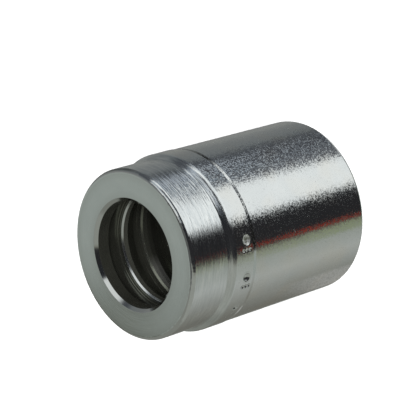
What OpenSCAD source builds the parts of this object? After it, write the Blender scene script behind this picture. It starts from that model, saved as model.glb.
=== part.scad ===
// Crimp hose ferrule: a turned steel sleeve that is pressed over a hose and its hose tail.
// It stands on its open hose end with the lip end up, and the Z axis is the axis of the bore.
// The solid is one revolved half section: radius runs along X, height along Y.

/* [Body] */
// Outer diameter of the crimping body
body_d = 30; // [28:0.1:34]
// Length from the open end to the lip face
length = 39.4; // [38:0.1:60]
// Rounding of the outer edge at the open end
foot_edge_r = 0.6; // [0.1:0.05:1]

/* [Nose] */
// How far the nose lies below the body, on the radius
nose_drop = 0.65; // [0.2:0.05:1.5]
// Length of the nose from the lip face to the shoulder's rim
nose_len = 9.2; // [6:0.1:12]
// Rounding of the nose's edge at the lip face
nose_edge_r = 0.75; // [0.1:0.05:1.5]

/* [Shoulder] */
// Slope of the shoulder's cone, measured from the axis
shoulder_slope = 40; // [30:1:60]
// Rounding of the shoulder's rim
rim_r = 1.3; // [0.3:0.05:2]
// Fillet in the corner between the shoulder and the nose
cove_r = 0.5; // [0.2:0.05:2]

/* [Marking band] */
// How far the marking band stands proud of the body, on the radius
band_rise = 0.1; // [0.05:0.05:0.5]
// Length of the marking band behind the shoulder's rim
band_len = 3.6; // [2:0.1:8]
// Length of the ramp from the band down to the body
band_ramp = 0.7; // [0.1:0.05:2]

/* [Lip] */
// Diameter of the hose tail's collar that passes through the lip
collar_d = 18; // [14:0.1:18.2]
// Clearance round the collar, on the radius
collar_gap = 0.05; // [0.02:0.01:0.2]
// Length of the lip from its face to the locking groove
lip_len = 2.8; // [1.5:0.1:4]
// Width of the chamfer round the lip's mouth
lip_chamfer = 0.55; // [0.1:0.05:1]

/* [Locking groove] */
// Length of the groove behind the lip
groove_len = 3.2; // [2:0.1:4]
// Depth of the groove behind the lip's bore
groove_depth = 1.35; // [0.4:0.05:1.5]
// Fillet at the groove's foot, where its wall meets the inner ridge
groove_fillet_r = 0.4; // [0.1:0.05:1]
// How much wider than the lip's bore the inner ridge is, on the radius
inner_ridge_rise = 0.25; // [0:0.05:0.35]
// Length of the inner ridge's crest with its chamfer
inner_ridge_land = 1.2; // [0.6:0.1:2]

/* [Hose chamber] */
// Outer diameter of the hose
hose_d = 22; // [20:0.1:22.6]
// Clearance between the hose and the crests of the grip ridges, on the radius
hose_gap = 0.15; // [0.05:0.05:0.4]
// Distance from one ridge to the next, counted from the inner ridge
ridge_pitch = 6; // [4.5:0.1:8]
// Height of a grip ridge
ridge_height = 1.1; // [0.5:0.05:1.4]
// Length of a grip ridge's crest with its chamfer
ridge_land = 1.2; // [0.6:0.1:2]
// Chamfer on the edge of each ridge that faces the lip
ridge_chamfer = 0.3; // [0.1:0.05:0.4]
// Length of the steep flank that faces the lip
ridge_flank = 0.2; // [0.1:0.05:0.5]
// Length of the flat root above the steep flank
ridge_root = 0.8; // [0.2:0.1:1.2]
// Length of the lead-in cone at the open end
lead_in_len = 2; // [1:0.1:2.5]
// How far the lead-in cone opens, on the radius
lead_in_rise = 0.9; // [0.3:0.05:1.2]

/* [Hidden] */
$fn = 96;

// How far a cutting shape runs past the surface that it opens
over = 1;

body_r = body_d / 2;
band_r = body_r + band_rise;
nose_r = body_r - nose_drop;
rim_z = length - nose_len;
band_end_z = rim_z - band_len;

// The shoulder is an ogee: a convex rim, a cone and a concave cove, each tangent to the next.
// Where the two roundings leave no room for the cone, they meet at the slope that they reach.
shoulder_rise = band_r - nose_r;
ogee_r = rim_r + cove_r;
slope = min(shoulder_slope, acos(max(0, 1 - shoulder_rise / ogee_r)));
cone_run = shoulder_rise - ogee_r * (1 - cos(slope));
rim_x = band_r - rim_r;
rim_end = [rim_x + rim_r * cos(slope), rim_z + rim_r * sin(slope)];
cove_start = [rim_end.x - cone_run, rim_end.y + cone_run / tan(slope)];
cove_centre = [nose_r + cove_r, cove_start.y + cove_r * sin(slope)];

lip_r = collar_d / 2 + collar_gap;
groove_r = lip_r + groove_depth;
inner_ridge_r = lip_r + inner_ridge_rise;
// The fillet and the chamfer share the inner ridge's upper face.
inner_ridge_face = groove_r - inner_ridge_r;
inner_chamfer = min(ridge_chamfer, inner_ridge_face / 2);
groove_fillet = min(groove_fillet_r, inner_ridge_face - inner_chamfer, groove_len);
groove_z = length - lip_len;
inner_ridge_z = groove_z - groove_len;
inner_ridge_end_z = inner_ridge_z - inner_ridge_land;

crest_r = hose_d / 2 + hose_gap;
root_r = crest_r + ridge_height;
first_ridge_z = inner_ridge_z - ridge_pitch;
ridge_count = 1 + floor((first_ridge_z - lead_in_len - ridge_land) / ridge_pitch);

// What a rounded edge loses: the corner of a square outside a quarter circle.
// side is 1 on an upper edge and -1 on a lower one.
module edge_waste(edge_r, edge_z, radius, side) {
    translate([edge_r - radius, edge_z - side * radius])
        scale([1, side])
            difference() {
                square(radius + over);
                circle(radius);
            }
}

// Body, marking band with its ramp, and nose, before the edges are rounded
module outer_section() {
    polygon([
        [0, 0],
        [body_r, 0],
        [body_r, band_end_z - band_ramp],
        [band_r, band_end_z],
        [band_r, rim_z],
        [0, rim_z],
    ]);
    square([nose_r, length]);
    shoulder_section();
}

module shoulder_section() {
    translate([rim_x, rim_z])
        circle(rim_r);
    polygon([
        [0, rim_z],
        [rim_x, rim_z],
        rim_end,
        cove_start,
        [0, cove_start.y],
    ]);
    difference() {
        translate([0, cove_start.y])
            square([cove_start.x, cove_centre.y - cove_start.y]);
        translate(cove_centre)
            circle(cove_r);
    }
}

// Chamfered mouth, lip bore, locking groove and inner ridge
module lip_bore_section() {
    difference() {
        polygon([
            [0, inner_ridge_end_z],
            [inner_ridge_r, inner_ridge_end_z],
            [inner_ridge_r, inner_ridge_z - inner_chamfer],
            [inner_ridge_r + inner_chamfer, inner_ridge_z],
            [groove_r, inner_ridge_z],
            [groove_r, groove_z],
            [lip_r, groove_z],
            [lip_r, length - lip_chamfer],
            [lip_r + lip_chamfer + over, length + over],
            [0, length + over],
        ]);
        edge_waste(groove_r, inner_ridge_z, groove_fillet, -1);
    }
}

// Space above one grip ridge: its chamfer, its steep flank, the root, and the ramp to the ridge above
module tooth_gap_section(crest_z, upper_r, upper_z) {
    polygon([
        [0, crest_z - ridge_chamfer],
        [crest_r, crest_z - ridge_chamfer],
        [crest_r + ridge_chamfer, crest_z],
        [root_r, crest_z + ridge_flank],
        [root_r, crest_z + ridge_flank + ridge_root],
        [upper_r, upper_z],
        [0, upper_z],
    ]);
}

// Hose passage, the gaps that leave the grip ridges standing, and the lead-in cone
module hose_bore_section() {
    square([crest_r, first_ridge_z]);
    tooth_gap_section(first_ridge_z, inner_ridge_r, inner_ridge_end_z);
    for (i = [1 : ridge_count - 1]) {
        crest_z = first_ridge_z - i * ridge_pitch;
        tooth_gap_section(crest_z, crest_r, crest_z + ridge_pitch - ridge_land);
    }
    lead_in_slope = lead_in_rise / lead_in_len;
    polygon([
        [0, -over],
        [crest_r + lead_in_rise + lead_in_slope * over, -over],
        [crest_r, lead_in_len],
        [0, lead_in_len],
    ]);
}

module ferrule() {
    color([0.74, 0.76, 0.76])
        rotate_extrude()
            difference() {
                outer_section();
                edge_waste(nose_r, length, nose_edge_r, 1);
                edge_waste(body_r, 0, foot_edge_r, -1);
                lip_bore_section();
                hose_bore_section();
            }
}

ferrule();
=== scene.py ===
"""Looks of a crimp hose ferrule: one turned sleeve of zinc plated steel, standing on its open end."""
import math
from typing import NamedTuple

import bpy
import numpy as np
from mathutils import Matrix, Vector


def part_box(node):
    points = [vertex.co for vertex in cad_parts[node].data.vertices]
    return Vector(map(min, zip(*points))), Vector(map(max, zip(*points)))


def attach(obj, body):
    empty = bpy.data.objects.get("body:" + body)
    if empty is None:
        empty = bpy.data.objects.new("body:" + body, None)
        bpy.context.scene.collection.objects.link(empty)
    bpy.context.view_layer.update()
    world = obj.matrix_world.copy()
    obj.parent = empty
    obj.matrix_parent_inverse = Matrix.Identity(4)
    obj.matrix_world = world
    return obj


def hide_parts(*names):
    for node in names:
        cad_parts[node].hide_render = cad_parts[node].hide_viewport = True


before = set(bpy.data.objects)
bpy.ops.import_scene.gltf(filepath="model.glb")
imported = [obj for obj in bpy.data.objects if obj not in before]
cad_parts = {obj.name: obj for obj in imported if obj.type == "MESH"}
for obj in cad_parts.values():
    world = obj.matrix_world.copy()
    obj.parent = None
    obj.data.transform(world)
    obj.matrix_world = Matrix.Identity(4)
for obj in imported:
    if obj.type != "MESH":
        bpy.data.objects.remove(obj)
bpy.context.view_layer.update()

MM = 0.001

# Sizes of the turned section in millimetres. The band's radius and the length come from the frame, and the
# others are those of the part's source.
BAND_R = min(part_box("ferrule")[1][:2]) / MM
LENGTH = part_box("ferrule")[1].z / MM
BAND_RISE = 0.1
BAND_LEN = 3.6
BAND_RAMP = 0.7
BODY_R = BAND_R - BAND_RISE
FOOT_EDGE_R = 0.6
NOSE_DROP = 0.65
NOSE_LEN = 9.2
NOSE_EDGE_R = 0.75
NOSE_R = BODY_R - NOSE_DROP
SHOULDER_SLOPE = math.radians(40.0)
RIM_R = 1.3
COVE_R = 0.5
RIM_Z = LENGTH - NOSE_LEN
BAND_END_Z = RIM_Z - BAND_LEN
COLLAR_D = 18.0
COLLAR_GAP = 0.05
LIP_R = COLLAR_D / 2 + COLLAR_GAP
LIP_LEN = 2.8
LIP_CHAMFER = 0.55
GROOVE_DEPTH = 1.35
GROOVE_LEN = 3.2
GROOVE_FILLET = 0.4
GROOVE_R = LIP_R + GROOVE_DEPTH
GROOVE_Z = LENGTH - LIP_LEN
INNER_RIDGE_RISE = 0.25
INNER_RIDGE_LAND = 1.2
INNER_RIDGE_R = LIP_R + INNER_RIDGE_RISE
INNER_RIDGE_Z = GROOVE_Z - GROOVE_LEN
HOSE_D = 22.0
HOSE_GAP = 0.15
CREST_R = HOSE_D / 2 + HOSE_GAP
RIDGE_HEIGHT = 1.1
ROOT_R = CREST_R + RIDGE_HEIGHT
RIDGE_PITCH = 6.0
RIDGE_LAND = 1.2
RIDGE_CHAMFER = 0.3
RIDGE_FLANK = 0.2
RIDGE_ROOT = 0.8
RIDGE_RAMP = RIDGE_PITCH - RIDGE_LAND - RIDGE_FLANK - RIDGE_ROOT
LEAD_IN_LEN = 2.0
LEAD_IN_RISE = 0.9
RIDGE_COUNT = math.floor((INNER_RIDGE_Z - LEAD_IN_LEN - RIDGE_LAND) / RIDGE_PITCH)

# Small roundings that the part's source leaves out, the width of the painted shadow line below the band's
# ramp, and the share of a grip ridge's ramp that takes its land's finish, with the painted highlight.
EDGE_BREAK = 0.08
SHARP_EDGE = 0.03
FACE_EDGE_R = 0.25
RAMP_EDGE_R = 0.3
SHADOW_LINE_WIDTH = 0.2
LAND_FINISH_SHARE = 0.3

# Spacing of the mesh in millimetres and degrees, finer where the band is marked.
ARC_STEP = 14.0
LEAST_ARC_STEPS = 3
COARSE_STEP = 1.5
FINE_STEP = 0.38
BAND_ROW = 0.09
MARKED_FROM = -158.0
MARKED_TO = -94.0

# Camera of the photograph: pixels of its 420 pixel frame, angles, and lengths in millimetres.
PHOTO_WIDTH = 420
FOCAL_PIXELS = 1930.2
CAMERA_YAW = math.radians(47.655)
CAMERA_PITCH = math.radians(12.149)
LIP_CENTRE_PIXEL = (132.21, 255.47)
LIP_DISTANCE = 313.2
SENSOR_MM = 36.0
CLIP_START = 10.0


class Mark(NamedTuple):
    """A round mark on the band: angle round the axis, height above the band's middle, radius and depth."""
    angle: float
    above: float
    radius: float
    depth: float


DOT_COUNT = 3
DOT_PITCH = 0.7


def row_of_dots(angle, lowest, radius, depth):
    """Small marks, one above the other."""
    return [Mark(angle, lowest + i * DOT_PITCH, radius, depth) for i in range(DOT_COUNT)]


# Struck marks have a frosted floor from a small depth on, and cut ones keep the band's finish.
FROSTED_FROM = 0.02
STRUCK_MARKS = [
    Mark(-100.4, -0.6, 0.90, 0.20),
    *row_of_dots(-106.8, -1.1, 0.32, 0.10),
]
CUT_MARKS = [
    Mark(-124.4, -0.5, 0.75, 0.40),
    *row_of_dots(-131.0, -1.3, 0.34, 0.33),
    Mark(-148.9, -0.3, 0.50, 0.42),
]

# Burr round a mark: its height as a share of the mark's depth, its place and width as shares of the radius.
BURR_HEIGHT = 0.08
BURR_PLACE = 1.15
BURR_WIDTH = 0.15


class Corner(NamedTuple):
    """A corner of the half section, with the finish from there on.

    A corner with no rounding is a point on a straight stretch, where one finish meets another.
    """
    radius: float
    height: float
    rounding: float
    finish: str


def outer_corners():
    """Corners of the outside, from the open end up to the lip's face."""
    ramp_z = BAND_END_Z - BAND_RAMP
    shoulder_z = RIM_Z + RIM_R * math.tan(SHOULDER_SLOPE / 2)
    cove_z = shoulder_z + (BAND_R - NOSE_R) / math.tan(SHOULDER_SLOPE)
    return [
        Corner(BODY_R, 0, FOOT_EDGE_R, "rolled"),
        Corner(BODY_R, ramp_z - SHADOW_LINE_WIDTH, 0, "ramp_shadow"),
        Corner(BODY_R, ramp_z, RAMP_EDGE_R, "ramp_shadow"),
        Corner(BAND_R, BAND_END_Z, RAMP_EDGE_R, "band"),
        Corner(BAND_R, shoulder_z, RIM_R, "turned"),
        Corner(NOSE_R, cove_z, COVE_R, "turned"),
        Corner(NOSE_R, LENGTH, NOSE_EDGE_R, "edge"),
        Corner(NOSE_R - NOSE_EDGE_R, LENGTH, 0, "faced"),
    ]


def lip_corners():
    """Corners of the mouth, the lip's bore, the locking groove and the inner ridge, from the top down."""
    return [
        Corner(LIP_R + LIP_CHAMFER, LENGTH, EDGE_BREAK, "faced"),
        Corner(LIP_R, LENGTH - LIP_CHAMFER, EDGE_BREAK, "lip"),
        Corner(LIP_R, GROOVE_Z, EDGE_BREAK, "bored"),
        Corner(GROOVE_R, GROOVE_Z, EDGE_BREAK, "bored"),
        Corner(GROOVE_R, INNER_RIDGE_Z, GROOVE_FILLET, "bored"),
        Corner(GROOVE_R - GROOVE_FILLET, INNER_RIDGE_Z, 0, "burnished"),
        Corner(INNER_RIDGE_R + RIDGE_CHAMFER, INNER_RIDGE_Z, FACE_EDGE_R, "burnished"),
        Corner(INNER_RIDGE_R, INNER_RIDGE_Z - RIDGE_CHAMFER, SHARP_EDGE, "crest"),
        Corner(INNER_RIDGE_R, INNER_RIDGE_Z - INNER_RIDGE_LAND, SHARP_EDGE, "bored"),
    ]


def grip_ridge_corners(ridge):
    """Corners of one grip ridge, from its root down. Ridges are counted from the inner ridge."""
    crest_z = INNER_RIDGE_Z - ridge * RIDGE_PITCH
    lowest = ridge == RIDGE_COUNT
    land_end_z = LEAD_IN_LEN if lowest else crest_z - RIDGE_LAND
    chamfer_r = CREST_R + RIDGE_CHAMFER
    corners = [
        Corner(ROOT_R, crest_z + RIDGE_FLANK + RIDGE_ROOT, EDGE_BREAK, "bored"),
        Corner(ROOT_R, crest_z + RIDGE_FLANK, EDGE_BREAK, "bored"),
        Corner((ROOT_R + chamfer_r) / 2, crest_z + RIDGE_FLANK / 2, 0, "worn_shaded"),
        Corner(chamfer_r, crest_z, FACE_EDGE_R, "worn_shaded"),
        Corner(CREST_R, crest_z - RIDGE_CHAMFER, SHARP_EDGE, "land"),
        Corner(CREST_R, land_end_z, SHARP_EDGE, "land"),
    ]
    if not lowest:
        # The land's finish, with its painted highlight, runs a share of the way down the ramp
        land_finish_r = CREST_R + LAND_FINISH_SHARE * RIDGE_HEIGHT
        corners.append(Corner(land_finish_r, land_end_z - LAND_FINISH_SHARE * RIDGE_RAMP, 0, "bored"))
    return corners


def ferrule_corners():
    """Corners of the whole half section, anticlockwise from the outer edge at the open end."""
    corners = outer_corners() + lip_corners()
    for ridge in range(1, RIDGE_COUNT + 1):
        corners += grip_ridge_corners(ridge)
    return corners + [Corner(CREST_R + LEAD_IN_RISE, 0, EDGE_BREAK, "bored")]


def corner_arc(before, here, after, rounding):
    """Points and outward normals along the arc that rounds one corner of the section."""
    arriving = (here - before) / np.linalg.norm(here - before)
    leaving = (after - here) / np.linalg.norm(after - here)
    turn = math.atan2(arriving[0] * leaving[1] - arriving[1] * leaving[0], arriving @ leaving)
    side = math.copysign(1, turn)
    first_normal = np.array([arriving[1], -arriving[0]])
    reach = rounding * math.tan(abs(turn) / 2)
    centre = here - arriving * reach - first_normal * rounding * side
    steps = max(LEAST_ARC_STEPS, math.ceil(abs(math.degrees(turn)) / ARC_STEP)) if rounding else 0
    angles = np.linspace(0, turn, steps + 1)[:, None]
    normals = first_normal * np.cos(angles) + arriving * np.sin(angles)
    return centre + normals * rounding * side, normals


def band_rows(start):
    """Points up the band, close enough together to carry the marks."""
    rows = math.ceil((RIM_Z - BAND_END_Z) / BAND_ROW)
    return np.linspace(start, (BAND_R, RIM_Z), rows + 1)[1:-1]


def rounded_section(corners):
    """Points, normals and finishes along the closed section, with its corners rounded."""
    spots = np.array([(corner.radius, corner.height) for corner in corners])
    points, normals, finishes = [], [], []
    for i, corner in enumerate(corners):
        after = spots[(i + 1) % len(spots)]
        stretch, facing = corner_arc(spots[i - 1], spots[i], after, corner.rounding)
        if corner.finish == "band":
            rows = band_rows(stretch[-1])
            stretch = np.concatenate([stretch, rows])
            facing = np.concatenate([facing, np.tile((1.0, 0.0), (len(rows), 1))])
        points.append(stretch)
        normals.append(facing)
        finishes += [corner.finish] * len(stretch)
    return np.concatenate(points), np.concatenate(normals), finishes


def turning_angles():
    """Angles round the axis in radians: close together where the band is marked, wider elsewhere."""
    coarse = np.arange(MARKED_TO, MARKED_FROM + 360, COARSE_STEP)
    fine = np.arange(MARKED_FROM, MARKED_TO, FINE_STEP)
    return np.radians(np.concatenate([fine, coarse]))


def mark_depth(marks, angle, z):
    """Depth in millimetres of some marks: round hollows with a low burr round each."""
    depth = np.zeros(np.broadcast(angle, z).shape)
    middle_z = (BAND_END_Z + RIM_Z) / 2
    for mark in marks:
        around = (angle - math.radians(mark.angle)) * BAND_R
        share = np.hypot(around, z - middle_z - mark.above) / mark.radius
        burr = BURR_HEIGHT * np.exp(-(((share - BURR_PLACE) / BURR_WIDTH) ** 2))
        depth += mark.depth * (np.maximum(1 - share * share, 0) - burr)
    return depth


def revolved_mesh(angles, radius, height):
    """A closed mesh with a ring of vertices for each angle, from radii and heights in millimetres."""
    around = angles[:, None]
    spots = np.broadcast_arrays(radius * np.cos(around), radius * np.sin(around), height)
    vertices = np.stack(spots, axis=-1).reshape(-1, 3) * MM
    here = np.arange(radius.size).reshape(radius.shape)
    beside = np.roll(here, -1, axis=0)
    faces = np.stack([here, beside, np.roll(beside, -1, 1), np.roll(here, -1, 1)], axis=-1)
    mesh = bpy.data.meshes.new("ferrule_sleeve")
    mesh.from_pydata(vertices.tolist(), [], faces.reshape(-1, 4).tolist())
    return mesh


def set_finishes(mesh, materials, finishes, struck):
    """Gives each face the finish of its stretch of the section, and struck marks their frosted floor."""
    names = list(materials)
    for name in names:
        mesh.materials.append(materials[name])
    slots = np.array([names.index(finish) for finish in finishes])
    slots = np.where(struck > FROSTED_FROM, names.index("frosted"), slots)
    mesh.polygons.foreach_set("material_index", slots.reshape(-1).astype(np.int32))


def add_turning_map(mesh, points, angles):
    """A map in metres with the way round the body as u and the way along the section as v."""
    lengths = np.linalg.norm(np.roll(points, -1, 0) - points, axis=1)
    ends = np.cumsum(lengths) * MM
    starts = ends - lengths * MM
    ways = np.append(angles, angles[0] + 2 * math.pi) * BODY_R * MM
    u0, u1 = np.repeat(ways[:-1], len(points)), np.repeat(ways[1:], len(points))
    v0, v1 = np.tile(starts, len(angles)), np.tile(ends, len(angles))
    corners = np.stack([u0, v0, u1, v0, u1, v1, u0, v1], axis=-1)
    layer = mesh.uv_layers.new(name="turning")
    layer.uv.foreach_set("vector", corners.reshape(-1).astype(np.float32))


def set_normals(mesh, angles, normals, on_band):
    """Smooth shading by the section's own normals, and on the band by the faces, which the marks turn."""
    mesh.polygons.foreach_set("use_smooth", np.ones(len(mesh.polygons), bool))
    mesh.update()
    around = angles[:, None]
    outward, upward = normals.T
    exact = np.broadcast_arrays(outward * np.cos(around), outward * np.sin(around), upward)
    exact = np.stack(exact, axis=-1).reshape(-1, 3)
    measured = np.array([normal.vector for normal in mesh.vertex_normals])
    marked = np.tile(on_band, len(angles))
    exact[marked] = measured[marked]
    mesh.normals_split_custom_set_from_vertices(exact.tolist())


def new_object(name, data):
    """An object in the scene."""
    made = bpy.data.objects.new(name, data)
    bpy.context.scene.collection.objects.link(made)
    return made


def build_ferrule(materials):
    """Revolves the section into one closed piece with a finish for each stretch of it."""
    points, normals, finishes = rounded_section(ferrule_corners())
    radius, height = points.T
    angles = turning_angles()
    on_band = np.array([finish == "band" for finish in finishes])
    struck = on_band * mark_depth(STRUCK_MARKS, angles[:, None], height)
    cut = on_band * mark_depth(CUT_MARKS, angles[:, None], height)
    mesh = revolved_mesh(angles, radius - struck - cut, height)
    set_finishes(mesh, materials, finishes, struck)
    add_turning_map(mesh, points, angles)
    set_normals(mesh, angles, normals, on_band)
    return new_object("ferrule_sleeve", mesh)


# Detail and roughness of the two kinds of noise.
PLAIN_NOISE = (2.0, 0.5)
RICH_NOISE = (3.0, 0.6)

# Numbers of a colour Mix node's sockets.
MIX_SHARE = 0
MIX_FIRST = 6
MIX_SECOND = 7
MIX_RESULT = 2


def add_node(tree, kind, inputs=None, **settings):
    """A shader node. inputs maps a socket's name or number to a value or to another node's output."""
    made = tree.nodes.new(kind)
    for name, value in settings.items():
        setattr(made, name, value)
    for socket, value in (inputs or {}).items():
        if isinstance(value, bpy.types.NodeSocket):
            tree.links.new(value, made.inputs[socket])
        else:
            made.inputs[socket].default_value = value
    return made


def calculate(tree, operation, *values):
    """Output of a Math node."""
    return add_node(tree, "ShaderNodeMath", dict(enumerate(values)), operation=operation).outputs[0]


def vector_math(tree, operation, *values, output="Vector"):
    """Output of a Vector Math node."""
    inputs = dict(enumerate(values))
    return add_node(tree, "ShaderNodeVectorMath", inputs, operation=operation).outputs[output]


def axis_value(tree, vector, axis):
    """One of the three parts of a vector."""
    return add_node(tree, "ShaderNodeSeparateXYZ", {0: vector}).outputs[axis]


def noise(tree, vector, scale, kind=PLAIN_NOISE):
    """Output of a noise texture, from 0 to 1."""
    detail, roughness = kind
    inputs = {"Vector": vector, "Scale": scale, "Detail": detail, "Roughness": roughness}
    return add_node(tree, "ShaderNodeTexNoise", inputs).outputs["Fac"]


def remap(tree, value, old_low, old_high, new_low, new_high, smooth=False):
    """A value moved from one range to another and kept inside it."""
    inputs = {
        "Value": value,
        "From Min": old_low,
        "From Max": old_high,
        "To Min": new_low,
        "To Max": new_high,
    }
    kind = "SMOOTHSTEP" if smooth else "LINEAR"
    return add_node(tree, "ShaderNodeMapRange", inputs, interpolation_type=kind).outputs["Result"]


def mix_colour(tree, share, first, second):
    """A colour between two others."""
    inputs = {MIX_SHARE: share, MIX_FIRST: first, MIX_SECOND: second}
    return add_node(tree, "ShaderNodeMix", inputs, data_type="RGBA").outputs[MIX_RESULT]


def bump(tree, height, distance, strength=1.0):
    """A Bump node for a height from 0 to 1 that stands for a distance in metres."""
    return add_node(tree, "ShaderNodeBump", {"Strength": strength, "Distance": distance, "Height": height})


def object_place(tree):
    """Place on the object, in metres."""
    return add_node(tree, "ShaderNodeTexCoord").outputs["Object"]


def surface_normal(tree):
    """Normal of the surface."""
    return add_node(tree, "ShaderNodeNewGeometry").outputs["Normal"]


def towards_x(tree, low, high, at_low=0.0, at_high=1.0):
    """A value that changes between two places on the X axis."""
    return remap(tree, axis_value(tree, object_place(tree), "X"), low, high, at_low, at_high)


def new_metal(name, metal=1.0):
    """A metal material: its tree, its shader, the place on the object and the way on the turning map."""
    material = bpy.data.materials.new(name)
    material.use_nodes = True
    tree = material.node_tree
    shader = tree.nodes["Principled BSDF"]
    shader.inputs["Metallic"].default_value = metal
    way = add_node(tree, "ShaderNodeUVMap", uv_map="turning").outputs["UV"]
    return material, tree, shader, object_place(tree), way


def tint(material, share, colour):
    """Mixes a share of another colour into a metal's own."""
    tree = material.node_tree
    socket = tree.nodes["Principled BSDF"].inputs["Base Color"]
    tree.links.new(mix_colour(tree, share, socket.links[0].from_socket, colour), socket)


# Greys of the plating, from the outside to the depth of the bore. The bore's dark greys stand partly for its
# thin dull plating and partly for painted shade.
DULL_ZINC = (0.71, 0.73, 0.73, 1)
BRIGHT_ZINC = (0.81, 0.82, 0.81, 1)
WARM_ZINC = (0.80, 0.77, 0.71, 1)
STREAK_ZINC = (0.63, 0.66, 0.67, 1)
PALE_ZINC = (0.93, 0.94, 0.93, 1)
# Painted shade: the shadow line below the band's ramp and the dark side of the nose's edge
PAINTED_SHADE = (0.19, 0.20, 0.19, 1)
RIM_ZINC = (0.69, 0.70, 0.69, 1)
# Painted highlight on the -X side of the grip ridges' lands
LAND_HIGHLIGHT = (0.46, 0.47, 0.43, 1)
CREST_ZINC = (0.29, 0.30, 0.25, 1)
THIN_SHADED_ZINC = (0.21, 0.215, 0.18, 1)
PALE_BORE = (0.16, 0.164, 0.135, 1)
DARK_BORE = (0.10, 0.104, 0.085, 1)

# Where the finish changes across the ferrule: each change lies between two places on the X axis, in metres.
# Towards -X the body's grain and the nose's rings are polished, and the grip ridges' lands carry a painted
# highlight.
# Towards +X the foot of the band's ramp, the nose's edge and the grip ridges' edges carry painted shade.
POLISHED_BODY = (-0.0045, -0.0015)
POLISHED_NOSE = (-0.0085, -0.0050)
RAMP_SHADOW_SPAN = (0.0112, 0.0134)
EDGE_SHADE_SPAN = (0.0122, 0.0134)
LAND_HIGHLIGHT_SPAN = (-0.0035, -0.0010)
FLANK_SHADE_SPAN = (0.0020, 0.0080)
DARKEST_FLANK_SHADE = 0.7

# Crystals of the plating to the metre, and how far they lean where the body is polished and elsewhere
CRYSTALS = 5600.0
CRYSTAL_TILT = (0.03, 0.075)
# Share of the crystals that is smooth, and their roughness from the smooth to the roughest
SMOOTH_CRYSTALS = 0.5
CRYSTAL_ROUGHNESS = (0.10, 0.24)
# Patches of two greys and of a yellow tint to the metre, where the tint sets in, and its largest share
GREY_PATCHES = 260.0
YELLOW_PATCHES = 150.0
YELLOW_NOISE = (0.5, 0.75)
YELLOW_SHARE = 0.7


class Scratches(NamedTuple):
    """Short scratches: angle in degrees, length and width in metres, and the share of cells with one."""
    angle: float
    length: float
    width: float
    share: float


STEEP_SCRATCHES = Scratches(62.0, 0.0004, 0.00006, 0.045)
SHALLOW_SCRATCHES = Scratches(-24.0, 0.0006, 0.00005, 0.03)
# Share of its cell's length and width that a scratch takes up, and where in the cell its soft edge lies
SCRATCH_IN_CELL = 0.2
SCRATCH_EDGE = (0.05, 0.13)
# How much rougher a scratch is than the surface round it
SCRATCH_ROUGHNESS = 0.4


def scratch_mask(tree, way, kind):
    """Mask of one kind of scratches, each in a cell of its own."""
    inputs = {"Vector": way, "Angle": math.radians(kind.angle)}
    turned = add_node(tree, "ShaderNodeVectorRotate", inputs, rotation_type="Z_AXIS").outputs[0]
    scale = (SCRATCH_IN_CELL / kind.length, SCRATCH_IN_CELL / kind.width, 0.0)
    inputs = {"Vector": vector_math(tree, "MULTIPLY", turned, scale), "Scale": 1.0}
    cells = add_node(tree, "ShaderNodeTexVoronoi", inputs, voronoi_dimensions="2D")
    chosen = calculate(tree, "LESS_THAN", axis_value(tree, cells.outputs["Color"], "X"), kind.share)
    inside = remap(tree, cells.outputs["Distance"], *SCRATCH_EDGE, 1.0, 0.0)
    return calculate(tree, "MULTIPLY", chosen, inside)


def crystal_normal(tree, crystals, tilt):
    """The surface normal, turned a little in each crystal of the plating."""
    centred = vector_math(tree, "SUBTRACT", crystals.outputs["Color"], (0.5, 0.5, 0.5))
    leaning = vector_math(tree, "MULTIPLY", centred, tilt)
    return vector_math(tree, "NORMALIZE", vector_math(tree, "ADD", surface_normal(tree), leaning))


def crystal_roughness(tree, crystals):
    """Roughness of the crystals: a share is smooth, and the others are rougher by degrees."""
    drawn = axis_value(tree, crystals.outputs["Color"], "Z")
    return remap(tree, drawn, SMOOTH_CRYSTALS, 1.0, *CRYSTAL_ROUGHNESS)


def rolled_zinc(name):
    """Plated drawn surface of the body and the band, with a fine crystal grain and a few scratches."""
    material, tree, shader, place, way = new_metal(name)
    grey = mix_colour(tree, noise(tree, place, GREY_PATCHES, RICH_NOISE), DULL_ZINC, BRIGHT_ZINC)
    yellowed = remap(tree, noise(tree, place, YELLOW_PATCHES), *YELLOW_NOISE, 0.0, YELLOW_SHARE)
    tree.links.new(mix_colour(tree, yellowed, grey, WARM_ZINC), shader.inputs["Base Color"])
    crystals = add_node(tree, "ShaderNodeTexVoronoi", {"Vector": place, "Scale": CRYSTALS})
    steep = scratch_mask(tree, way, STEEP_SCRATCHES)
    shallow = scratch_mask(tree, way, SHALLOW_SCRATCHES)
    scratched = calculate(tree, "MAXIMUM", steep, shallow)
    grain = crystal_roughness(tree, crystals)
    roughness = calculate(tree, "MULTIPLY_ADD", scratched, SCRATCH_ROUGHNESS, grain)
    tree.links.new(roughness, shader.inputs["Roughness"])
    tilt = towards_x(tree, *POLISHED_BODY, *CRYSTAL_TILT)
    tree.links.new(crystal_normal(tree, crystals, tilt), shader.inputs["Normal"])
    return material


def ramp_shadow_zinc():
    """The body's surface at the foot of the band's ramp, with a painted shadow line that darkens its +X
    side.
    """
    material = rolled_zinc("ramp_shadow_zinc")
    tint(material, towards_x(material.node_tree, *RAMP_SHADOW_SPAN), PAINTED_SHADE)
    return material


# Floor of a struck mark: patches to the metre and where they set in, bumps to the metre and their height.
FROST_METAL = 0.92
FROST_ROUGHNESS = 0.38
FROST_PATCHES = 2600.0
FROST_NOISE = (0.4, 0.6)
FROST_BUMPS = 5000.0
FROST_HEIGHT = 4.0e-5


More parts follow.
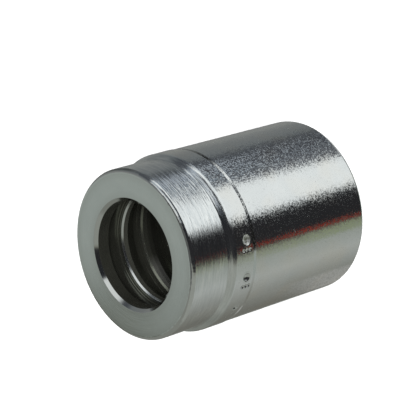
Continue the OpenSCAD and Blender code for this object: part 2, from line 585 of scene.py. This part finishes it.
def frosted_zinc():
    """Rough floor of a struck mark, mottled where the plating is thin."""
    material, tree, shader, place, _ = new_metal("frosted_zinc", FROST_METAL)
    shader.inputs["Roughness"].default_value = FROST_ROUGHNESS
    patches = remap(tree, noise(tree, place, FROST_PATCHES), *FROST_NOISE, 0.0, 1.0)
    tree.links.new(mix_colour(tree, patches, CREST_ZINC, BRIGHT_ZINC), shader.inputs["Base Color"])
    rough = bump(tree, noise(tree, place, FROST_BUMPS), FROST_HEIGHT)
    tree.links.new(rough.outputs[0], shader.inputs["Normal"])
    return material


class Turning(NamedTuple):
    """A lathe finish: rings to the metre and their height in metres, two greys and the range of roughness.

    Slow waves have a height too, streaks is how much the rings share in the colour, polished is the share of
    streaked rings that is left towards -X, and metal is less than 1 where the plating is thin and dull.
    """
    rings: float
    ring_height: float
    dark: tuple
    light: tuple
    roughness: tuple
    wave_height: float = 0.0
    streaks: float = 0.0
    polished: float = 1.0
    metal: float = 1.0


# Lathe finishes. In the bore the plating is thin and dull, and its dark greys are partly painted shade.
OUTER_ROUGHNESS = (0.10, 0.17)
FACE_ROUGHNESS = (0.09, 0.13)
INNER_EDGE_ROUGHNESS = (0.18, 0.22)
BORE_ROUGHNESS = (0.18, 0.28)
TURNED = Turning(3000.0, 6.0e-5, STREAK_ZINC, PALE_ZINC, OUTER_ROUGHNESS, streaks=0.7, polished=0.4)
NOSE_EDGE = Turning(3000.0, 2.0e-5, DULL_ZINC, BRIGHT_ZINC, OUTER_ROUGHNESS, wave_height=1.0e-4)
LIP_FACE = Turning(5000.0, 2.0e-6, DULL_ZINC, BRIGHT_ZINC, FACE_ROUGHNESS)
INNER_EDGE = Turning(7000.0, 3.0e-7, DULL_ZINC, BRIGHT_ZINC, INNER_EDGE_ROUGHNESS)
LIP_BORE = Turning(3500.0, 3.0e-6, DARK_BORE, PALE_BORE, BORE_ROUGHNESS, metal=0.88)
CREST = Turning(3500.0, 3.0e-6, THIN_SHADED_ZINC, CREST_ZINC, BORE_ROUGHNESS, metal=0.88)
GRIP_EDGE = Turning(3500.0, 3.0e-6, THIN_SHADED_ZINC, CREST_ZINC, BORE_ROUGHNESS, metal=0.95)
BORE = Turning(3500.0, 3.0e-6, DARK_BORE, PALE_BORE, BORE_ROUGHNESS, metal=0.92)

# Changes of the rings round the axis, patches of tone and slow waves, all to the metre
RING_DRIFT = 280.0
TONE_PATCHES = 300.0
SLOW_WAVES = 500.0
# Parts of the rings' range that streaks and roughness run over
STREAK_NOISE = (0.35, 0.65)
ROUGH_NOISE = (0.3, 0.7)
# Distances in millimetres from the middle of the lip's face that it gets darker between
FACE_FADE = (0.7, 2.0)
# Strength of the painted shade on the nose's edge, and upward parts of the normal that it fades out between
EDGE_SHADE_STRENGTH = 0.85
EDGE_SHADE_FADE = (0.6, 0.95)


def turning_rings(tree, place, way, per_metre):
    """Fine rings left by a turning tool: they vary quickly along the section and slowly round the axis."""
    inputs = {
        "X": calculate(tree, "MULTIPLY", axis_value(tree, place, "X"), RING_DRIFT),
        "Y": calculate(tree, "MULTIPLY", axis_value(tree, place, "Y"), RING_DRIFT),
        "Z": calculate(tree, "MULTIPLY", axis_value(tree, way, "Y"), per_metre),
    }
    vector = add_node(tree, "ShaderNodeCombineXYZ", inputs).outputs[0]
    return noise(tree, vector, 1.0, RICH_NOISE)


def turned_zinc(name, finish):
    """Plated surface with the fine rings that a lathe leaves."""
    material, tree, shader, place, way = new_metal(name, finish.metal)
    rings = turning_rings(tree, place, way, finish.rings)
    tone = noise(tree, place, TONE_PATCHES, RICH_NOISE)
    strength = 1.0
    if finish.streaks:
        strength = towards_x(tree, *POLISHED_NOSE, finish.polished, 1.0)
        apart = calculate(tree, "SUBTRACT", remap(tree, rings, *STREAK_NOISE, 0.0, 1.0), tone)
        share = calculate(tree, "MULTIPLY", strength, finish.streaks)
        tone = calculate(tree, "MULTIPLY_ADD", apart, share, tone)
    tree.links.new(mix_colour(tree, tone, finish.dark, finish.light), shader.inputs["Base Color"])
    tree.links.new(remap(tree, rings, *ROUGH_NOISE, *finish.roughness), shader.inputs["Roughness"])
    ridged = bump(tree, rings, finish.ring_height, strength)
    if finish.wave_height:
        waved = bump(tree, noise(tree, place, SLOW_WAVES), finish.wave_height)
        tree.links.new(waved.outputs[0], ridged.inputs["Normal"])
    tree.links.new(ridged.outputs[0], shader.inputs["Normal"])
    return material


def faced_zinc():
    """Lathe finish of the lip's face and the mouth's chamfer, a little darker towards the face's edges."""
    material = turned_zinc("faced_zinc", LIP_FACE)
    tree = material.node_tree
    level = vector_math(tree, "MULTIPLY", object_place(tree), (1.0, 1.0, 0.0))
    from_axis = vector_math(tree, "LENGTH", level, output="Value")
    middle = (NOSE_R - NOSE_EDGE_R + LIP_R + LIP_CHAMFER) / 2 * MM
    from_middle = calculate(tree, "ABSOLUTE", calculate(tree, "SUBTRACT", from_axis, middle))
    tint(material, remap(tree, from_middle, FACE_FADE[0] * MM, FACE_FADE[1] * MM, 0.0, 1.0), RIM_ZINC)
    return material


def edge_zinc():
    """Lathe finish of the nose's edge, with painted shade on one side that fades out towards the lip's face.
    """
    material = turned_zinc("edge_zinc", NOSE_EDGE)
    tree = material.node_tree
    outer = remap(tree, axis_value(tree, surface_normal(tree), "Z"), *EDGE_SHADE_FADE, EDGE_SHADE_STRENGTH, 0.0)
    tint(material, calculate(tree, "MULTIPLY", outer, towards_x(tree, *EDGE_SHADE_SPAN)), PAINTED_SHADE)
    return material


def land_zinc():
    """Bored surface of the grip ridges' lands, with a painted highlight that brightens them towards -X."""
    material = turned_zinc("land_zinc", LIP_BORE)
    tint(material, towards_x(material.node_tree, *LAND_HIGHLIGHT_SPAN, 1.0, 0.0), LAND_HIGHLIGHT)
    return material


def worn_shaded_zinc():
    """Worn edges of the grip ridges, with painted shade that darkens them towards +X."""
    material = turned_zinc("worn_shaded_zinc", GRIP_EDGE)
    tint(material, towards_x(material.node_tree, *FLANK_SHADE_SPAN, 0.0, DARKEST_FLANK_SHADE), DARK_BORE)
    return material


def ferrule_materials():
    """Materials of the ferrule by finish."""
    rolled = rolled_zinc("rolled_zinc")
    return {
        "rolled": rolled,
        "ramp_shadow": ramp_shadow_zinc(),
        "band": rolled,
        "frosted": frosted_zinc(),
        "turned": turned_zinc("turned_zinc", TURNED),
        "edge": edge_zinc(),
        "faced": faced_zinc(),
        "lip": turned_zinc("lip_zinc", LIP_BORE),
        "bored": turned_zinc("bored_zinc", BORE),
        "burnished": turned_zinc("burnished_zinc", INNER_EDGE),
        "crest": turned_zinc("crest_zinc", CREST),
        "worn_shaded": worn_shaded_zinc(),
        "land": land_zinc(),
    }


# Studio light in the reflections, in degrees. Azimuth is counted round the ferrule's axis from +X, and
# elevation up from the horizon. Azimuth runs from -90 to 270, so that its two ends meet in the dark wall.
AZIMUTHS = (-90.0, 270.0)
WALLS = (
    (-60, (0.020, 0.022, 0.025)),
    (-38, (0.105, 0.112, 0.125)),
    (-26, (0.115, 0.122, 0.135)),
    (-8, (0.062, 0.067, 0.077)),
    (13, (0.080, 0.088, 0.098)),
    (21, (0.170, 0.185, 0.190)),
    (42, (0.200, 0.210, 0.210)),
    (60, (0.260, 0.270, 0.260)),
    (80, (0.220, 0.225, 0.220)),
    (92, (0.330, 0.360, 0.340)),
    (112, (0.160, 0.160, 0.140)),
    (130, (0.170, 0.170, 0.150)),
    (154, (0.230, 0.235, 0.210)),
    (194, (0.420, 0.440, 0.420)),
    (222, (0.340, 0.365, 0.330)),
    (228, (0.250, 0.255, 0.215)),
    (234, (0.022, 0.022, 0.024)),
)
WHITE = (0.92, 0.955, 0.955, 1)
SOFT_WHITE = (0.80, 0.83, 0.82, 1)
BLUE_GREY = (0.46, 0.51, 0.57, 1)
SLATE = (0.27, 0.33, 0.39, 1)
PALE_GREY = (0.335, 0.37, 0.345, 1)
WARM_GREY = (0.315, 0.33, 0.30, 1)
EDGE_GREY = (0.23, 0.24, 0.215, 1)
MID_GREY = (0.37, 0.37, 0.35, 1)
DIM_GREY = (0.135, 0.145, 0.122, 1)
RED_BROWN = (0.27, 0.035, 0.02, 1)
OLIVE = (0.26, 0.30, 0.19, 1)
NEAR_BLACK = (0.012, 0.012, 0.012, 1)
TOP_GREY = (0.10, 0.104, 0.10, 1)


class Card(NamedTuple):
    """A card round the ferrule, in degrees.

    It has azimuths of its sides at its foot, elevations of its ends, the softness of both pairs, and how
    much its sides move apart for each degree that it rises.
    """
    colour: tuple
    sides: tuple
    ends: tuple
    soft_sides: float
    soft_ends: float
    spread: float = 0.0


# Later cards hang in front of earlier ones. The comments say what mirrors them in the photograph's view.
STUDIO_CARDS = (
    # The lip's face, then the nose's edge and the shoulder
    Card(PALE_GREY, (70, 108), (-24, 90), 6.0, 6.0),
    Card(EDGE_GREY, (108, 166), (-24, 90), 6.0, 6.0),
    Card(WARM_GREY, (166, 223), (-24, 90), 7.0, 6.0),
    # The nose
    Card(BLUE_GREY, (-46, 1), (-41.2, -26), 3.0, 0.5, 0.3),
    Card(SLATE, (-32, -16), (-41.2, -34), 5.0, 0.5),
    # The band's ramp and the bore
    Card(WHITE, (-28, 18), (-66, -51.5), 3.0, 1.2),
    Card(NEAR_BLACK, (21, 84), (-66, -47.2), 3.0, 0.8),
    # The shoulder and the nose's edge
    Card(WHITE, (-24, -6), (-30, 7), 5.0, 5.0),
    Card(WHITE, (-84, -20), (-36, -2), 5.0, 3.0),
    Card(BLUE_GREY, (-18, -5), (4, 36), 4.0, 3.0),
    Card(BLUE_GREY, (-64, -18), (26, 41), 8.0, 2.0),
    # The bright streak along the body and the nose
    Card(WHITE, (-77.4, -45.3), (-56, -34), 6.0, 2.0, 0.57),
    # A ceiling, and a light below it for the mouth's chamfer and the ridges
    Card(TOP_GREY, (-100, 280), (64, 100), 5.0, 4.0),
    Card(SOFT_WHITE, (-57, 4), (35, 66), 4.0, 4.0),
    # Thin strips on the body
    Card(RED_BROWN, (233.2, 238.8), (-46, -43.1), 0.8, 0.4),
    Card(OLIVE, (218, 231), (-51, -43.2), 2.0, 2.0),
    Card(MID_GREY, (112, 158), (-46.2, -43.3), 3.0, 0.5),
    # The band's ramp
    Card(PALE_GREY, (186, 222), (-60, -49.5), 4.0, 0.8),
    Card(NEAR_BLACK, (224, 280), (-66, -50.5), 3.0, 0.8),
    # The darker side of the lip's face
    Card(DIM_GREY, (91.7, 108), (-30, 38.7), 1.2, 1.2),
    # The ground below, which the outside mirrors when it is seen from above
    Card(PALE_GREY, (-100, 280), (-100, -70), 5.0, 5.0),
)

# Light that is not mirrored: the world's, and a square key light with its size and place in metres.
PALE_LIGHT = (1.0, 1.0, 1.0, 1)
PALE_STRENGTH = 0.7
KEY_POWER = 34.0
KEY_SIZE = 0.5
KEY_PLACE = (0.02, -1.08, 1.0)

# Floor and the black card that lies on it, in metres.
FLOOR_HALF = 2.0
FLOOR_PALE = (0.9, 0.9, 0.9, 1)
FLOOR_ROUGHNESS = 0.9
FLOOR_SHINE = 0.1
BLACK_CARD_COLOUR = (0.01, 0.01, 0.01, 1)
BLACK_CARD_SIDES = 64
BLACK_CARD_Z = 0.0001


def set_ramp(ramp, walls):
    """Sets a colour ramp's stops from azimuths in degrees and colours."""
    while len(ramp.elements) < len(walls):
        ramp.elements.new(0.5)
    for element, (azimuth, colour) in zip(ramp.elements, walls):
        element.position = (azimuth - AZIMUTHS[0]) / (AZIMUTHS[1] - AZIMUTHS[0])
        element.color = (*colour, 1)


def between(tree, value, low, high, soft):
    """A mask that is 1 where a value lies between two limits, with soft edges."""
    rising = remap(tree, value, low - soft, low + soft, 0.0, 1.0, smooth=True)
    falling = remap(tree, value, high - soft, high + soft, 1.0, 0.0, smooth=True)
    return calculate(tree, "MULTIPLY", rising, falling)


def card_mask(tree, azimuth, elevation, card):
    """Where the reflections show a card."""
    middle = (card.sides[0] + card.sides[1]) / 2
    half = (card.sides[1] - card.sides[0]) / 2
    aside = calculate(tree, "ABSOLUTE", calculate(tree, "SUBTRACT", azimuth, middle))
    height = calculate(tree, "SUBTRACT", elevation, card.ends[0])
    beyond = calculate(tree, "MULTIPLY_ADD", height, -card.spread, aside)
    across = remap(tree, beyond, half - card.soft_sides, half + card.soft_sides, 1.0, 0.0, smooth=True)
    return calculate(tree, "MULTIPLY", across, between(tree, elevation, *card.ends, card.soft_ends))


def mirrored_studio(tree):
    """Colour of the walls and cards in each direction."""
    direction = add_node(tree, "ShaderNodeTexCoord").outputs["Generated"]
    axes = add_node(tree, "ShaderNodeSeparateXYZ", {0: direction})
    radians = calculate(tree, "ARCTAN2", axes.outputs["Y"], axes.outputs["X"])
    azimuth = calculate(tree, "WRAP", calculate(tree, "DEGREES", radians), AZIMUTHS[1], AZIMUTHS[0])
    elevation = calculate(tree, "DEGREES", calculate(tree, "ARCSINE", axes.outputs["Z"]))
    walls = add_node(tree, "ShaderNodeValToRGB", {"Fac": remap(tree, azimuth, *AZIMUTHS, 0.0, 1.0)})
    set_ramp(walls.color_ramp, WALLS)
    studio = walls.outputs["Color"]
    for card in STUDIO_CARDS:
        studio = mix_colour(tree, card_mask(tree, azimuth, elevation, card), studio, card.colour)
    return studio


def studio_world():
    """Pale light all round, and walls and cards that only the reflections show."""
    world = bpy.data.worlds.new("studio")
    bpy.context.scene.world = world
    world.use_nodes = True
    tree = world.node_tree
    tree.nodes.clear()
    mirrored = add_node(tree, "ShaderNodeLightPath").outputs["Is Glossy Ray"]
    light = mix_colour(tree, mirrored, PALE_LIGHT, mirrored_studio(tree))
    strength = remap(tree, mirrored, 0.0, 1.0, PALE_STRENGTH, 1.0)
    background = add_node(tree, "ShaderNodeBackground", {"Color": light, "Strength": strength})
    output = add_node(tree, "ShaderNodeOutputWorld")
    tree.links.new(background.outputs[0], output.inputs["Surface"])


def key_light():
    """A wide soft light above the camera, so that shadows fall behind the ferrule.

    Reflections do not show it.
    """
    data = bpy.data.lights.new("key_light", "AREA")
    data.shape = "SQUARE"
    data.size = KEY_SIZE
    data.energy = KEY_POWER
    light = new_object("key_light", data)
    light.location = KEY_PLACE
    light.rotation_mode = "QUATERNION"
    light.rotation_quaternion = Vector(KEY_PLACE).to_track_quat("Z", "Y")
    light.visible_glossy = False


def flat_piece(name, corners, material_name, colour):
    """A flat piece with one plain colour, and its shader."""
    mesh = bpy.data.meshes.new(name)
    mesh.from_pydata(corners, [], [tuple(range(len(corners)))])
    material = bpy.data.materials.new(material_name)
    material.use_nodes = True
    shader = material.node_tree.nodes["Principled BSDF"]
    shader.inputs["Base Color"].default_value = colour
    mesh.materials.append(material)
    return new_object(name, mesh), shader


def black_card():
    """A black card under the open end, which keeps the light from below out of the bore's reflections."""
    radius = (CREST_R + LEAD_IN_RISE) * MM
    turns = [2 * math.pi * i / BLACK_CARD_SIDES for i in range(BLACK_CARD_SIDES)]
    ring = [(radius * math.cos(turn), radius * math.sin(turn), BLACK_CARD_Z) for turn in turns]
    card, _ = flat_piece("black_card", ring, "black_card", BLACK_CARD_COLOUR)
    card.visible_camera = False
    card.visible_diffuse = False
    card.visible_shadow = False


def pale_floor():
    """A wide, matt, pale floor under the ferrule that its reflections do not show."""
    half = FLOOR_HALF
    corners = [(-half, -half, 0), (half, -half, 0), (half, half, 0), (-half, half, 0)]
    floor, shader = flat_piece("studio_floor", corners, "floor_paper", FLOOR_PALE)
    shader.inputs["Roughness"].default_value = FLOOR_ROUGHNESS
    shader.inputs["Specular IOR Level"].default_value = FLOOR_SHINE
    floor.visible_glossy = False


def photo_camera():
    """The photograph's camera: it looks down on the lip end and is rolled so that the ferrule seems to lie.

    The part's axes are worked out as the camera sees them: x to the right, y down and z forward.
    """
    towards_foot = Vector((
        math.sin(CAMERA_YAW) * math.cos(CAMERA_PITCH),
        -math.sin(CAMERA_PITCH),
        math.cos(CAMERA_YAW) * math.cos(CAMERA_PITCH),
    ))
    forward = Vector((0, 0, 1))
    axis_z = -towards_foot
    axis_y = (forward - axis_z * forward.dot(axis_z)).normalized()
    axis_x = axis_y.cross(axis_z)
    to_part = Matrix((axis_x, axis_y, axis_z))
    half = PHOTO_WIDTH / 2
    lip_centre = Vector((
        (LIP_CENTRE_PIXEL[0] - half) / FOCAL_PIXELS,
        (LIP_CENTRE_PIXEL[1] - half) / FOCAL_PIXELS,
        1,
    )) * LIP_DISTANCE
    place = (Vector((0, 0, LENGTH)) - to_part @ lip_centre) * MM
    blender_view = Matrix(((1, 0, 0), (0, -1, 0), (0, 0, -1)))
    data = bpy.data.cameras.new("photo_camera")
    data.sensor_width = SENSOR_MM
    data.lens = FOCAL_PIXELS / PHOTO_WIDTH * SENSOR_MM
    data.clip_start = CLIP_START * MM
    camera = new_object("photo_camera", data)
    camera.matrix_world = Matrix.Translation(place) @ (to_part @ blender_view).to_4x4()
    bpy.context.scene.camera = camera


def main():
    """Sets up the studio and the camera, and builds the sleeve that stands for the frame's one node."""
    bpy.context.scene.view_settings.view_transform = "Standard"
    photo_camera()
    studio_world()
    pale_floor()
    key_light()
    black_card()
    sleeve = build_ferrule(ferrule_materials())
    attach(sleeve, "root")
    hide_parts("ferrule")


main()
